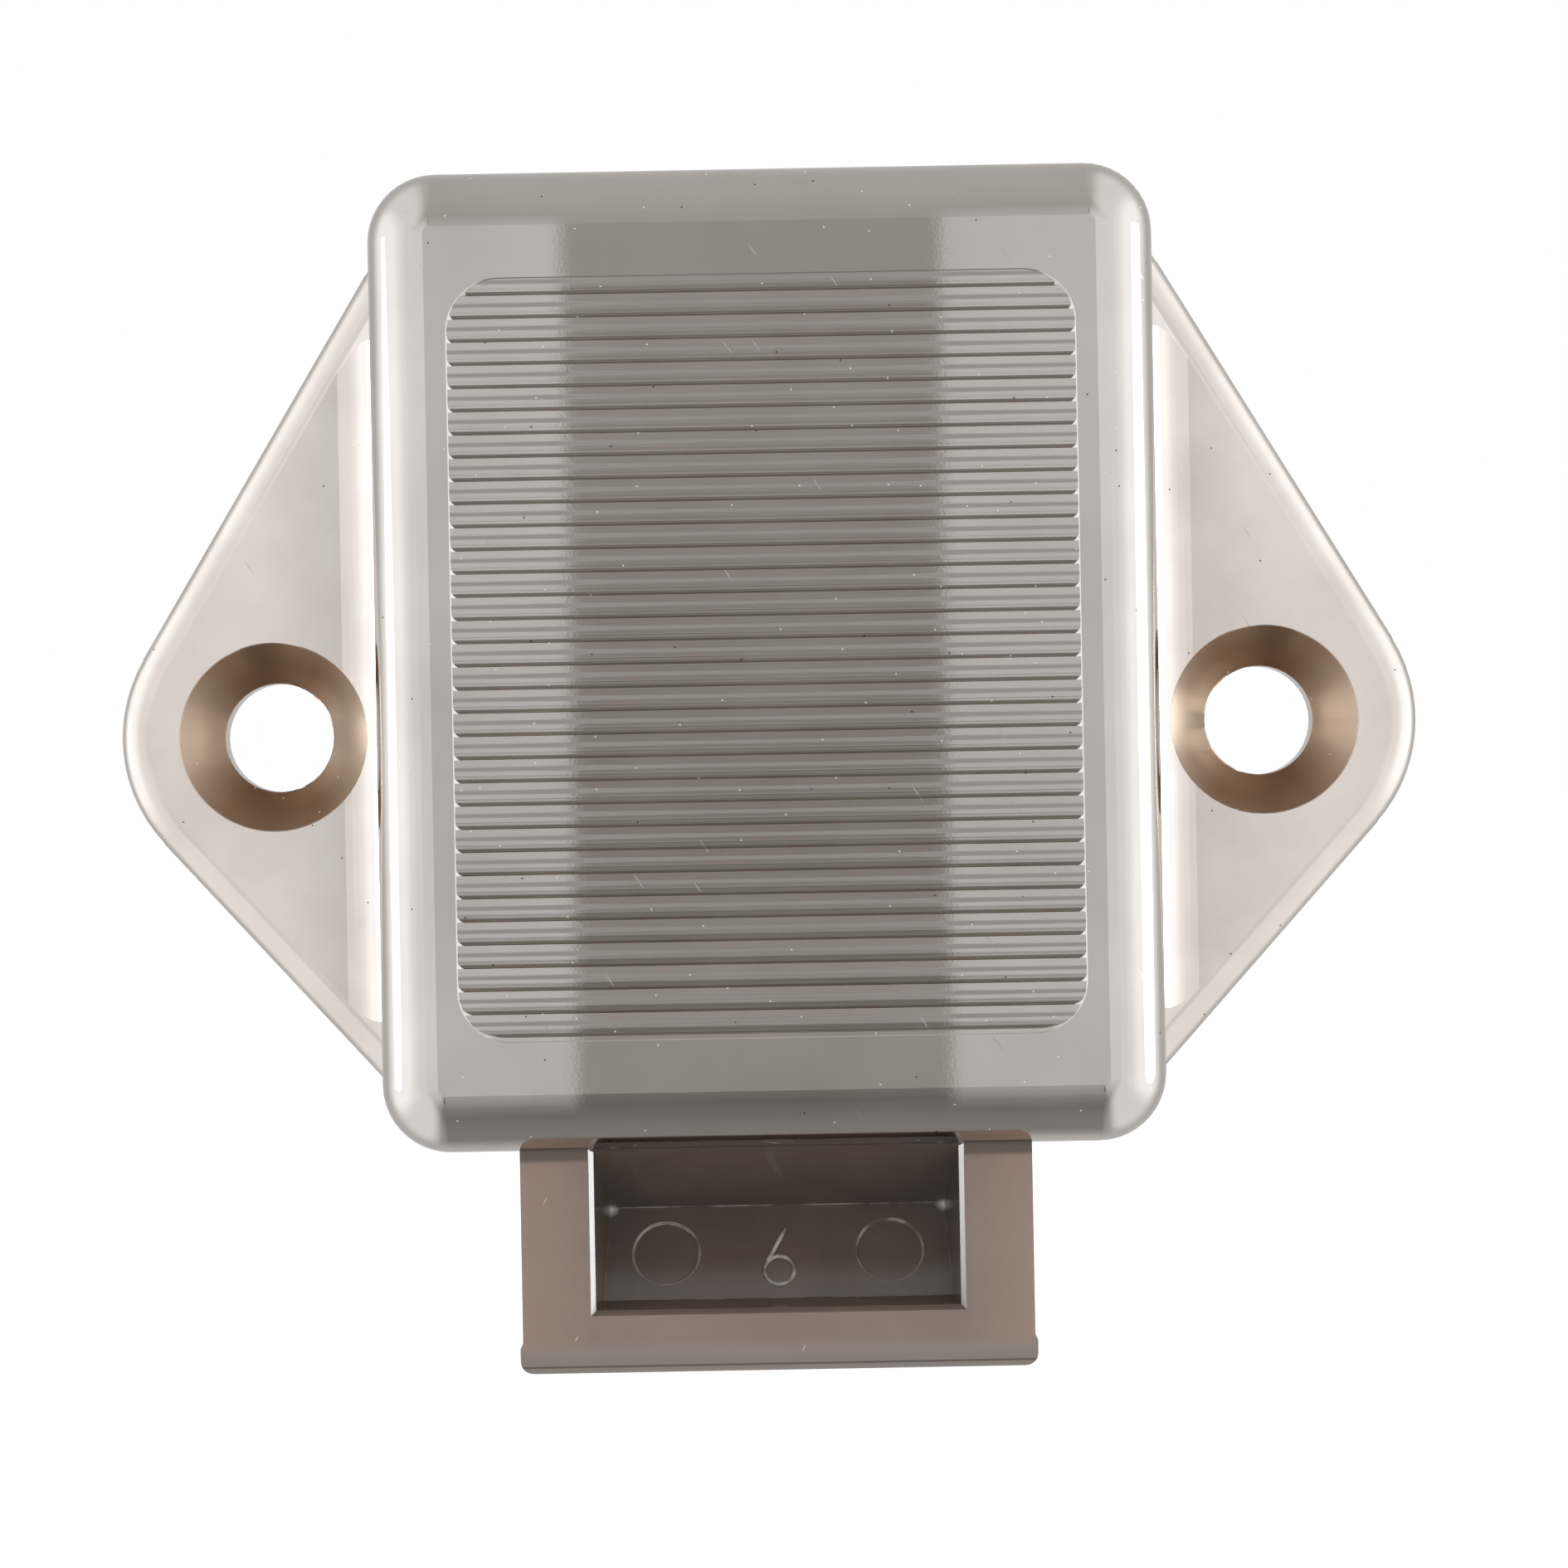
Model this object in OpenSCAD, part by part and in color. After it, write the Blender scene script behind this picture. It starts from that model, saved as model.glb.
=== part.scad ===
// Push-button lock for a cabinet door: a ribbed case with two screw wings, a sliding bolt,
// and a push-push plunger that wedges the bolt out.
// Each piece is drawn lying down: x to the right, y up the door, z out from the door.
// The finished part stands upright: the door face is the plane y = 0, and the ribs look towards -y.

/* [Case] */
// Width of the case at the door
case_width = 34.8; // [34:0.1:40]
// Height of the case above the screw line
case_top = 24.6; // [23.5:0.1:30]
// Height of the case below the screw line
case_bottom = 18.7; // [17.5:0.1:22]
// Height of the ribbed face above the door
case_depth = 13.5; // [13:0.1:16]
// Thickness of the side walls at the mouth
wall = 1.8; // [1.4:0.1:2.1]
// Thickness of the ribbed wall
face_wall = 2.3; // [1.8:0.1:2.6]
// Width of the ledge that the cover plate sits on
ledge = 0.6; // [0.4:0.1:0.8]
// Radius of the case corners seen from the front
corner_radius = 3.2; // [3.1:0.1:4.5]
// Radius of the rounding round the ribbed face
edge_radius = 2.7; // [1:0.1:2.8]
// Draft of the side walls in degrees
draft = 1; // [0.5:0.1:1.5]

/* [Wings] */
// Distance between the two screw holes
screw_spacing = 46; // [44:0.5:56]
// Radius of the wing tips
wing_radius = 7.3; // [6:0.1:8]
// Radius of the rounds where the wing edges run into the case corners
wing_blend = 6; // [5:0.5:8]
// Thickness of the wings
wing_thickness = 3; // [2.5:0.1:4]
// Rounding of the wing edges
wing_edge = 1.4; // [0.4:0.1:1.8]
// Radius of the fillet between the wings and the case
wing_fillet = 2.4; // [1:0.1:2.8]
// Diameter of the screw holes
screw_hole = 5.1; // [4:0.1:6]
// Diameter of the countersinks
countersink = 8.8; // [7:0.1:9.6]

/* [Ribs] */
// Distance from rib to rib
rib_pitch = 1; // [0.8:0.05:1.5]
// Depth of the ribs
rib_depth = 0.2; // [0.1:0.02:0.5]
// Width of the steep side of a rib
rib_step = 0.18; // [0.1:0.02:0.3]
// Width of the flat part of a rib
rib_flat = 0.42; // [0.2:0.02:0.46]
// Plain border beside the ribbed panel
side_border = 3.8; // [3.4:0.1:7]
// Plain border above and below the ribbed panel
end_border = 5.15; // [4:0.05:9]
// Corner radius of the ribbed panel
rib_corner = 2.3; // [1:0.1:4]
// Width of the sloped rib ends
rib_end = 0.3; // [0.1:0.05:0.5]

/* [Bolt] */
// How far the bolt stands out of the case when locked
bolt_throw = 9.8; // [9:0.1:11]
// Distance of the bolt face behind the ribbed face
bolt_inset = 2.5; // [2.5:0.1:2.8]
// Thickness of the nose at the tip
nose_thickness = 3.5; // [3:0.1:4]
// Radius of the rounded front edge of the nose
nose_radius = 1.15; // [0.5:0.05:1.5]
// Radius of the nose corners seen from the front
nose_corner = 0.7; // [0.3:0.1:1.2]
// Height of the slightly wider lip at the tip of the bolt
nose_lip = 1.3; // [1.25:0.05:1.35]
// How far the lip stands out at each side of the bolt
nose_flare = 0.12; // [0.04:0.02:0.14]
// Thickness of the bolt on either side of the pocket
pocket_cheek = 3.2; // [1.5:0.1:4]
// Distance from the tip to the lower edge of the pocket
pocket_low = 2.9; // [2.5:0.1:3.5]
// Distance from the tip to the fold of the pocket floor
pocket_fold = 6.7; // [6:0.1:7.2]
// Distance from the tip to the upper edge of the pocket
pocket_high = 10; // [9.5:0.1:10.5]
// Depth of the pocket at its lower edge
pocket_shallow = 2.9; // [2:0.1:3.2]
// Depth of the pocket at its fold
pocket_deep = 5.2; // [4.5:0.1:5.4]
// Draft of the pocket sides in degrees
pocket_draft = 5; // [1:0.5:8]
// Width of the bevel round the mouth of the pocket
pocket_edge = 0.22; // [0.1:0.02:0.4]
// Diameter of the round ejector marks in the pocket
ejector_mark = 3; // [2:0.1:3.4]
// Distance of each ejector mark from the middle
ejector_x = 5.05; // [4:0.05:5.5]

/* [Push mechanism] */
// Travel of the plunger from pressed in to released
plunger_travel = 6; // [5:0.1:6.2]
// How far the plunger is pressed past its latch to release it
over_press = 0.8; // [0.5:0.05:0.9]
// Bolt travel for each millimetre of plunger travel
ramp_slope = 1.4; // [1.1:0.02:1.46]
// Diameter of the round part of the plunger
plunger_diameter = 14.8; // [14.4:0.1:15.6]
// Width of the wedge on the plunger
wedge_width = 8; // [7:0.1:8.4]
// Diameter of the socket for the knob stem
socket_diameter = 8; // [6:0.1:9]
// Depth of the socket for the knob stem
socket_depth = 8; // [5:0.1:8]
// Diameter of the latch wire
wire_diameter = 0.9; // [0.7:0.05:1]
// Depth of the latch track
track_depth = 0.9; // [0.6:0.05:1]

/* [Springs] */
// Outer diameter of the return springs
spring_diameter = 3; // [2.6:0.05:3.1]
// Wire diameter of the return springs
spring_wire = 0.45; // [0.35:0.05:0.5]
// Turns of each return spring
spring_turns = 14; // [10:1:18]

/* [Cover] */
// Thickness of the cover plate
cover_thickness = 2.2; // [2:0.05:2.3]
// Outer diameter of the guide collar
collar_diameter = 19.6; // [18.6:0.1:22]
// Length of the guide collar inside the door
collar_length = 8; // [7:0.1:12]
// Diameter of the cover screws
cover_screw = 2.2; // [1.8:0.1:2.4]
// Length of the cover screws under the head
cover_screw_length = 6.5; // [5:0.1:7]

/* [Hidden] */
$fn = 64;

// Clearances
slide_gap = 0.15;
face_gap = 0.2;
guide_gap = 0.1;
seat_gap = 0.1;
ramp_gap = 0.1;
spring_gap = 0.375;
cut = 1;

// Case
half_width = case_width / 2;
inner_half = half_width - wall - ledge;
inner_top = case_top - wall - ledge;
inner_bottom = -case_bottom + wall + ledge;
inner_face = case_depth - face_wall;
panel_y = (case_top - case_bottom) / 2;
rib_width = case_width - 2 * side_border;
rib_count = floor((case_top + case_bottom - 2 * end_border) / rib_pitch + 0.001);
panel_length = rib_count * rib_pitch;
rib_drop = 0.03;
arc_x = half_width - corner_radius;
arc_top = case_top - corner_radius;
arc_bottom = -case_bottom + corner_radius;
blend_turn = 75;
blend_sink = 0.25;
blend_shift = wing_blend - corner_radius + blend_sink;
blend_x = arc_x - blend_shift * cos(blend_turn);
blend_top = arc_top - blend_shift * sin(blend_turn);
blend_bottom = arc_bottom + blend_shift * sin(blend_turn);
wing_lap = 1;
tip_ease = 0.02;
web_inset = 0.1;
web_lap = 0.2;

// Bolt
bolt_tip = -case_bottom - bolt_throw;
bolt_front = case_depth - bolt_inset;
bolt_back = cover_thickness + face_gap;
bolt_half = inner_half - spring_diameter - 2 * spring_gap;
bolt_width = 2 * bolt_half;
pocket_width = bolt_width - 2 * pocket_cheek;
bolt_travel = ramp_slope * plunger_travel;
floor_slope = (pocket_deep - pocket_shallow) / (pocket_fold - pocket_low);
back_slope_start = bolt_front - nose_thickness;

// Plunger
plunger_radius = plunger_diameter / 2;
guide_radius = plunger_radius + guide_gap;
wedge_half = wedge_width / 2;
wedge_high = sqrt(pow(plunger_radius, 2) - pow(wedge_half, 2)) - guide_gap;
wedge_tip = inner_face - over_press - 0.3;
lug_half = plunger_radius - 1;
lug_back = bolt_back + plunger_travel - guide_gap;
window_half = lug_half + 0.4;
round_end = bolt_back - over_press - 0.4;
plunger_end = -collar_length + 0.4;
arm_top = wedge_high + 1.3;
ear_low = arm_top - 4;

// Latch
wire_radius = wire_diameter / 2;
wire_z = bolt_back + over_press + wire_radius - 0.25;
wire_y = inner_top - 4.2;
wire_bend = 1.2;
track_floor = wedge_high - track_depth;
track_radius = wire_radius + slide_gap;
bend_ease = 0.03;
track_side = 1.3;

// Springs
spring_x = (bolt_half + inner_half) / 2;
spring_z = (bolt_back + bolt_front) / 2;
spring_peg = spring_diameter / 2 - spring_wire - 0.2;
peg_length = 2;

// Screws
boss_radius = 2.8;
boss_x = inner_half - boss_radius + 0.2;
boss_y = inner_top - boss_radius + 0.2;
head_radius = cover_screw * 0.9;
head_height = 1.2;
head_depth = 1.4;

// Direction of the outward normal of a wing edge that runs from the tip into the round at a case corner
function edge_angle(round_y) =
    let (dx = screw_spacing / 2 - blend_x)
    let (dy = -round_y)
    let (lean = acos((wing_blend - wing_radius) / norm([dx, dy])))
    atan2(dy, dx) + (round_y > 0 ? lean : -lean);

// Length of that wing edge between the tip and the round
function edge_length(round_y) =
    let (apart = norm([screw_spacing / 2 - blend_x, round_y]))
    sqrt(pow(apart, 2) - pow(wing_radius - wing_blend, 2));

// Height up the door of the wedge face on the plunger at a distance z from the door
function wedge_face(z) = -wedge_high + ramp_slope * (z - bolt_back);

// Turns a piece drawn lying down into the upright part
module upright() {
    rotate([90, 0, 0])
        children();
}

// Runs a profile, drawn with x outwards and y away from the door, along -y
module edge_run(length) {
    rotate([90, 0, 0])
        linear_extrude(length)
            children();
}

// Extrudes an outline, drawn with x up the door and y away from the door, over a width in x
module across(width) {
    rotate([90, 0, 90])
        linear_extrude(width, center = true)
            children();
}

// Half section of a slab with drafted sides and a rounded outer edge, from an arc centre outwards
module rim_profile(radius, height, angle, rounding) {
    centre_z = height - rounding;
    centre_r = radius - centre_z * tan(angle) - rounding / cos(angle);
    intersection() {
        union() {
            polygon([
                [0, 0],
                [radius, 0],
                [centre_r + rounding * cos(angle), centre_z + rounding * sin(angle)],
                [centre_r, centre_z],
                [centre_r, height],
                [0, height]
            ]);
            translate([centre_r, centre_z])
                circle(r = rounding);
        }
        square([radius + cut, height]);
    }
}

// Half section of a shallow pan with sloped sides
module pan_profile(radius, depth, slope) {
    polygon([
        [0, -2 * depth],
        [radius - 2 * slope, -2 * depth],
        [radius + slope, depth],
        [0, depth]
    ]);
}

// Slab with rounded corners that carries a half section all round: x from -half to half, y from low to high
module rounded_slab(half, low, high, radius, base, height) {
    x = half - radius;
    top = high - radius;
    bottom = low + radius;
    translate([-x, bottom, base])
        cube([2 * x, top - bottom, height]);
    for (corner = [[x, top, 0], [-x, top, 90], [-x, bottom, 180], [x, bottom, 270]])
        translate([corner[0], corner[1], 0])
            rotate([0, 0, corner[2]])
                rotate_extrude(angle = 90)
                    children();
    for (side = [[x, top, 0], [-x, bottom, 180]])
        translate([side[0], side[1], 0])
            rotate([0, 0, side[2]])
                edge_run(top - bottom)
                    children();
    for (end = [[-x, top, 90], [x, bottom, 270]])
        translate([end[0], end[1], 0])
            rotate([0, 0, end[2]])
                edge_run(2 * x)
                    children();
}

// Plain block with rounded upright edges
module rounded_block(half, low, high, radius, base, height) {
    translate([0, 0, base])
        linear_extrude(height) {
            translate([-half + radius, low])
                square([2 * (half - radius), high - low]);
            translate([-half, low + radius])
                square([2 * half, high - low - 2 * radius]);
            for (x = [-1, 1], y = [low + radius, high - radius])
                translate([x * (half - radius), y])
                    circle(r = radius);
        }
}

// Right wing: a rounded tip, two straight edges that run off it and round into the case corners,
// the web between them and the fillet
module wing() {
    high = edge_angle(blend_top);
    low = edge_angle(blend_bottom);
    long = edge_length(blend_top);
    short = edge_length(blend_bottom);
    upper = long * [-sin(high), cos(high)];
    lower = short * [sin(low), -cos(low)];
    web_radius = wing_radius - wing_edge - web_inset;
    lap_high = (web_radius - web_lap) * [cos(high), sin(high)];
    lap_low = (web_radius - web_lap) * [cos(low), sin(low)];
    web_x = arc_x - screw_spacing / 2 - wing_radius;
    translate([screw_spacing / 2, 0, 0]) {
        edge_round(wing_radius, low - wing_lap, high + wing_lap);
        translate(upper)
            rotate([0, 0, high])
                edge_run(long)
                    rim_profile(wing_radius, wing_thickness - tip_ease, 0, wing_edge);
        rotate([0, 0, low])
            edge_run(short)
                rim_profile(wing_radius, wing_thickness - tip_ease, 0, wing_edge);
        linear_extrude(wing_thickness) {
            circle(r = web_radius);
            polygon([
                lap_low,
                lap_high,
                upper + lap_high,
                [web_x, upper[1] + lap_high[1]],
                [web_x, lower[1] + lap_low[1]],
                lower + lap_low
            ]);
        }
    }
    translate([blend_x, blend_top, 0])
        edge_round(wing_blend, high - wing_lap, blend_turn);
    translate([blend_x, blend_bottom, 0])
        edge_round(wing_blend, -blend_turn, low + wing_lap);
    wing_root(high, low);
}

// Round stretch of a wing edge between two directions
module edge_round(radius, from, to) {
    rotate([0, 0, from])
        rotate_extrude(angle = to - from)
            rim_profile(radius - tip_ease, wing_thickness - 2 * tip_ease, 0, wing_edge);
}

// Concave fillet between the top of a wing and the side of the case, sloped off where the wing ends
module wing_root(high, low) {
    wall_x = half_width - wing_thickness * tan(draft);
    level = wing_radius - wing_edge;
    away = screw_spacing / 2 - wall_x;
    end_high = (away * cos(high) + level) / sin(high);
    end_low = (away * cos(low) + level) / sin(low);
    long = end_high - end_low;
    sink = 0.4;
    difference() {
        translate([wall_x, end_high, wing_thickness])
            edge_run(long)
                difference() {
                    translate([-sink, -sink])
                        square([wing_fillet + sink, wing_fillet + sink]);
                    translate([wing_fillet, wing_fillet + 0.02])
                        circle(r = wing_fillet);
                }
        for (angle = [high, low])
            translate([screw_spacing / 2, 0, wing_thickness])
                rotate([0, 0, angle])
                    translate([level, 0, 0])
                        rotate([0, -45, 0])
                            translate([0, -long, -long])
                                cube(2 * long);
    }
}

// Screw hole with a countersink of 90 degrees
module screw_cut() {
    hole = screw_hole / 2;
    head = countersink / 2;
    top = wing_thickness + wing_fillet + cut;
    rotate_extrude()
        polygon([
            [0, -cut],
            [hole, -cut],
            [hole, wing_thickness + hole - head],
            [head, wing_thickness],
            [head, top],
            [0, top]
        ]);
}

// Sawtooth ribs: each starts flat, rounds off towards the bolt and ends in a steep step
module rib_cut() {
    first = panel_y + panel_length / 2;
    last = first - panel_length;
    bend = rib_pitch - rib_step - rib_flat;
    bend_radius = (pow(bend, 2) + pow(rib_depth, 2)) / (2 * rib_depth);
    teeth = [
        for (i = [0 : rib_count - 1], corner = [[0, 0], [rib_flat, 0], [rib_flat + bend, rib_depth]])
            [first - i * rib_pitch - corner[0], -rib_drop - corner[1]]
    ];
    translate([0, 0, case_depth])
        intersection() {
            across(rib_width + 2 * cut)
                difference() {
                    polygon(concat(
                        [[first + cut, cut], [first + cut, -rib_drop]],
                        teeth,
                        [[last, -rib_drop], [last - cut, -rib_drop], [last - cut, cut]]
                    ));
                    for (i = [0 : rib_count - 1])
                        translate([first - i * rib_pitch - rib_flat, -rib_drop - bend_radius])
                            intersection() {
                                circle(r = bend_radius);
                                translate([-bend, 0])
                                    square([bend, bend_radius + cut]);
                            }
                }
            rounded_slab(rib_width / 2, last, first, rib_corner, -2 * rib_depth, 3 * rib_depth)
                pan_profile(rib_corner, rib_depth, rib_end);
        }
}

// Room for the mechanism, the seat of the cover plate and the slot for the bolt
module case_hollow() {
    rounded_block(inner_half, inner_bottom, inner_top, 1.2, cover_thickness - cut, inner_face - cover_thickness + cut);
    rounded_block(half_width - wall, inner_bottom - ledge, inner_top + ledge, 1.6, -cut, cover_thickness + cut);
    translate([-bolt_half - slide_gap, -case_bottom - cut, -cut])
        cube([bolt_width + 2 * slide_gap, case_bottom + cut, bolt_front + slide_gap + cut]);
}

// Bosses for the cover screws, boss for the latch wire and pegs for the springs
module case_bosses() {
    for (side = [-1, 1]) {
        translate([side * boss_x, boss_y, cover_thickness])
            cylinder(r = boss_radius, h = inner_face - cover_thickness + 0.5);
        translate([side * spring_x, inner_bottom - 0.5, spring_z])
            rotate([-90, 0, 0])
                cylinder(r = spring_peg, h = peg_length + 0.5);
    }
    translate([0, wire_y, inner_face - 5.5])
        cylinder(r = 2, h = 6);
}

module case() {
    color("#bab4b0")
        upright()
            difference() {
                union() {
                    difference() {
                        union() {
                            rounded_slab(half_width, -case_bottom, case_top, corner_radius, 0, case_depth)
                                rim_profile(corner_radius, case_depth, draft, edge_radius);
                            wing();
                            mirror([1, 0, 0])
                                wing();
                        }
                        case_hollow();
                        rib_cut();
                    }
                    case_bosses();
                }
                for (side = [-1, 1]) {
                    translate([side * screw_spacing / 2, 0, 0])
                        screw_cut();
                    translate([side * boss_x, boss_y, 0])
                        cylinder(d = cover_screw + 0.04, h = inner_face - 0.6);
                }
                translate([0, wire_y, 0])
                    cylinder(r = wire_radius + 0.03, h = inner_face - 0.6);
            }
}

module cover_plate() {
    color("#6f645d")
        upright()
            difference() {
                union() {
                    rounded_block(half_width - wall - seat_gap, inner_bottom - ledge + seat_gap,
                        inner_top + ledge - seat_gap, 1.5, 0, cover_thickness);
                    translate([-bolt_half, -case_bottom + seat_gap, 0])
                        cube([bolt_width, wall + 2, cover_thickness]);
                    rotate_extrude()
                        polygon([
                            [guide_radius - 0.5, cover_thickness],
                            [guide_radius - 0.5, -collar_length],
                            [collar_diameter / 2 - 0.6, -collar_length],
                            [collar_diameter / 2, -collar_length + 0.6],
                            [collar_diameter / 2, cover_thickness]
                        ]);
                    translate([0, wire_y, 0])
                        cylinder(r = 1.5, h = wire_z - wire_radius - 0.05);
                }
                translate([0, 0, -collar_length - cut])
                    cylinder(r = guide_radius, h = collar_length + cover_thickness + 2 * cut);
                for (side = [-1, 1])
                    translate([side * boss_x, boss_y, 0]) {
                        translate([0, 0, -cut])
                            cylinder(d = cover_screw + 0.3, h = cover_thickness + 2 * cut);
                        translate([0, 0, -cut])
                            cylinder(r = head_radius + 0.2, h = head_depth + cut);
                    }
            }
}

// Side view of the bolt: x up the door, y out from the door
module bolt_side() {
    back_end = bolt_tip + (back_slope_start - bolt_back) / floor_slope;
    top = wedge_face(bolt_front) - ramp_gap;
    bottom = wedge_face(bolt_back) - ramp_gap;
    polygon([
        [bolt_tip + nose_radius, bolt_front],
        [bolt_tip + nose_radius, bolt_front - nose_radius],
        [bolt_tip, bolt_front - nose_radius],
        [bolt_tip, back_slope_start],
        [back_end, bolt_back],
        [bottom, bolt_back],
        [top, bolt_front]
    ]);
    translate([bolt_tip + nose_radius, bolt_front - nose_radius])
        circle(r = nose_radius);
}

// Front view of the bolt: the tip has rounded corners
module bolt_outline() {
    lip_half = bolt_half + nose_flare;
    translate([-bolt_half, bolt_tip + nose_corner])
        square([bolt_width, arm_top - bolt_tip]);
    translate([-lip_half, bolt_tip + nose_corner])
        square([2 * lip_half, nose_lip - nose_corner]);
    translate([-lip_half + nose_corner, bolt_tip])
        square([2 * (lip_half - nose_corner), nose_corner + cut]);
    for (side = [-1, 1])
        translate([side * (lip_half - nose_corner), bolt_tip + nose_corner])
            circle(r = nose_corner);
}

// Pocket that lightens the nose: a floor along the sloping back, folded up towards the case
module bolt_pocket() {
    mouth = pocket_width / 2;
    edge_half = mouth - pocket_edge * tan(pocket_draft);
    low_half = mouth - (pocket_deep + cut) * tan(pocket_draft);
    lower = bolt_tip + pocket_low;
    steep = pocket_deep / (pocket_high - pocket_fold);
    intersection() {
        across(bolt_width)
            polygon([
                [lower - pocket_edge - cut, bolt_front + cut],
                [lower, bolt_front - pocket_edge],
                [lower, bolt_front - pocket_shallow],
                [bolt_tip + pocket_fold, bolt_front - pocket_deep],
                [bolt_tip + pocket_high, bolt_front],
                [bolt_tip + pocket_high + cut / steep, bolt_front + cut]
            ]);
        translate([0, bolt_tip + pocket_high + cut, 0])
            edge_run(pocket_high + cut)
                polygon([
                    [-edge_half - pocket_edge - cut, bolt_front + cut],
                    [-edge_half, bolt_front - pocket_edge],
                    [-low_half, bolt_front - pocket_deep - cut],
                    [low_half, bolt_front - pocket_deep - cut],
                    [edge_half, bolt_front - pocket_edge],
                    [edge_half + pocket_edge + cut, bolt_front + cut]
                ]);
    }
}

// Round marks that the ejector pins leave in the pocket floor
module ejector_marks() {
    along = (pocket_low + pocket_fold) / 2;
    depth = (pocket_shallow + pocket_deep) / 2;
    for (side = [-1, 1])
        translate([side * ejector_x, bolt_tip + along, bolt_front - depth])
            rotate([-atan(floor_slope), 0, 0])
                translate([0, 0, -0.12])
                    cylinder(d = ejector_mark, h = cut);
}

// Arm beside the plunger with the ear that the return spring pushes on
module bolt_arm() {
    translate([window_half, -wedge_high - 3, bolt_back])
        cube([bolt_half - window_half, arm_top + wedge_high + 3, bolt_front - bolt_back]);
    translate([bolt_half - 0.5, ear_low, spring_z - 2.2])
        cube([inner_half - bolt_half + 0.2, arm_top - ear_low, 4.4]);
    translate([spring_x, ear_low - peg_length, spring_z])
        rotate([-90, 0, 0])
            cylinder(r = spring_peg, h = peg_length + 0.5);
}

module bolt() {
    color("#85766e")
        upright() {
            difference() {
                union() {
                    intersection() {
                        across(bolt_width + 2 * cut)
                            bolt_side();
                        translate([0, 0, bolt_back - cut])
                            linear_extrude(bolt_front)
                                bolt_outline();
                    }
                    bolt_arm();
                    mirror([1, 0, 0])
                        bolt_arm();
                }
                bolt_pocket();
                ejector_marks();
            }
        }
}

// Straight piece of the latch track between two points, a little wider at its rounded ends
module track_piece(from, to) {
    way = to - from;
    translate(from)
        rotate(atan2(way[1], way[0]))
            translate([0, -track_radius])
                square([norm(way), 2 * track_radius]);
    translate(from)
        circle(r = track_radius + bend_ease);
    translate(to)
        circle(r = track_radius + bend_ease);
}

// Heart-shaped track: in past the left of the island, a notch that holds, out past its right
module latch_track() {
    notch = wire_z;
    out = notch + plunger_travel;
    way = [
        [0, out],
        [-track_side, notch + plunger_travel * 0.55],
        [-track_side, notch + 0.8],
        [-track_side / 2, notch - over_press],
        [0, notch],
        [track_side / 2, notch - over_press],
        [track_side, notch + 0.8],
        [track_side, notch + plunger_travel * 0.55],
        [0, out]
    ];
    translate([0, track_floor, 0])
        rotate([-90, 0, 0])
            linear_extrude(track_depth + cut)
                mirror([0, 1])
                    for (i = [0 : len(way) - 2])
                        track_piece(way[i], way[i + 1]);
}

module plunger() {
    lead = 0.5;
    color("#5d544e")
        upright()
            difference() {
                union() {
                    rotate_extrude()
                        polygon([
                            [0, round_end],
                            [0, plunger_end],
                            [plunger_radius - lead, plunger_end],
                            [plunger_radius, plunger_end + lead],
                            [plunger_radius, round_end]
                        ]);
                    intersection() {
                        union() {
                            translate([-wedge_half, -wedge_high, round_end - cut])
                                cube([wedge_width, 2 * wedge_high, wedge_tip - round_end + cut]);
                            translate([-lug_half, -wedge_high, lug_back])
                                cube([2 * lug_half, 2 * wedge_high, wedge_tip - lug_back]);
                        }
                        across(4 * plunger_radius)
                            polygon([
                                [-wedge_high, round_end - cut],
                                [-wedge_high, bolt_back],
                                [wedge_face(wedge_tip), wedge_tip],
                                [wedge_high, wedge_tip],
                                [wedge_high, round_end - cut]
                            ]);
                    }
                }
                translate([0, 0, plunger_end - cut])
                    cylinder(d = socket_diameter, h = socket_depth + cut);
                translate([0, 0, plunger_end - cut])
                    cylinder(d1 = socket_diameter + 2 * lead + 2 * cut, d2 = socket_diameter, h = lead + cut);
                latch_track();
            }
}

// Height of a coil spring with closed ends after a number of turns
function coil_height(turn, turns, length, wire) =
    let (rise = length - wire)
    let (pitch = (rise - 2 * wire) / (turns - 2))
    turn < 1 ? turn * wire
    : turn > turns - 1 ? rise - (turns - turn) * wire
    : wire + (turn - 1) * pitch;

// Compression spring that stands on z = 0
module coil_spring(diameter, wire, turns, length) {
    sides = 6;
    steps = 14;
    rings = turns * steps;
    mean = (diameter - wire) / 2;
    points = [
        for (i = [0 : rings], j = [0 : sides - 1])
            let (turn = 360 * i / steps)
            let (tilt = 360 * j / sides)
            let (reach = mean + wire / 2 * cos(tilt))
            let (height = wire / 2 + coil_height(i / steps, turns, length, wire) + wire / 2 * sin(tilt))
            [reach * cos(turn), reach * sin(turn), height]
    ];
    walls = [
        for (i = [0 : rings - 1], j = [0 : sides - 1])
            let (k = (j + 1) % sides)
            [i * sides + j, (i + 1) * sides + j, (i + 1) * sides + k, i * sides + k]
    ];
    start = [for (j = [0 : sides - 1]) j];
    finish = [for (j = [sides - 1 : -1 : 0]) rings * sides + j];
    polyhedron(points, concat(walls, [start, finish]), convexity = 10);
}

// Return spring between the lower wall of the case and the ear of the bolt
module return_spring(side) {
    color("#b9bcc0")
        upright()
            translate([side * spring_x, inner_bottom + 0.05, spring_z])
                rotate([-90, 0, 0])
                    coil_spring(spring_diameter, spring_wire, spring_turns, ear_low - inner_bottom - 0.1);
}

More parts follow.
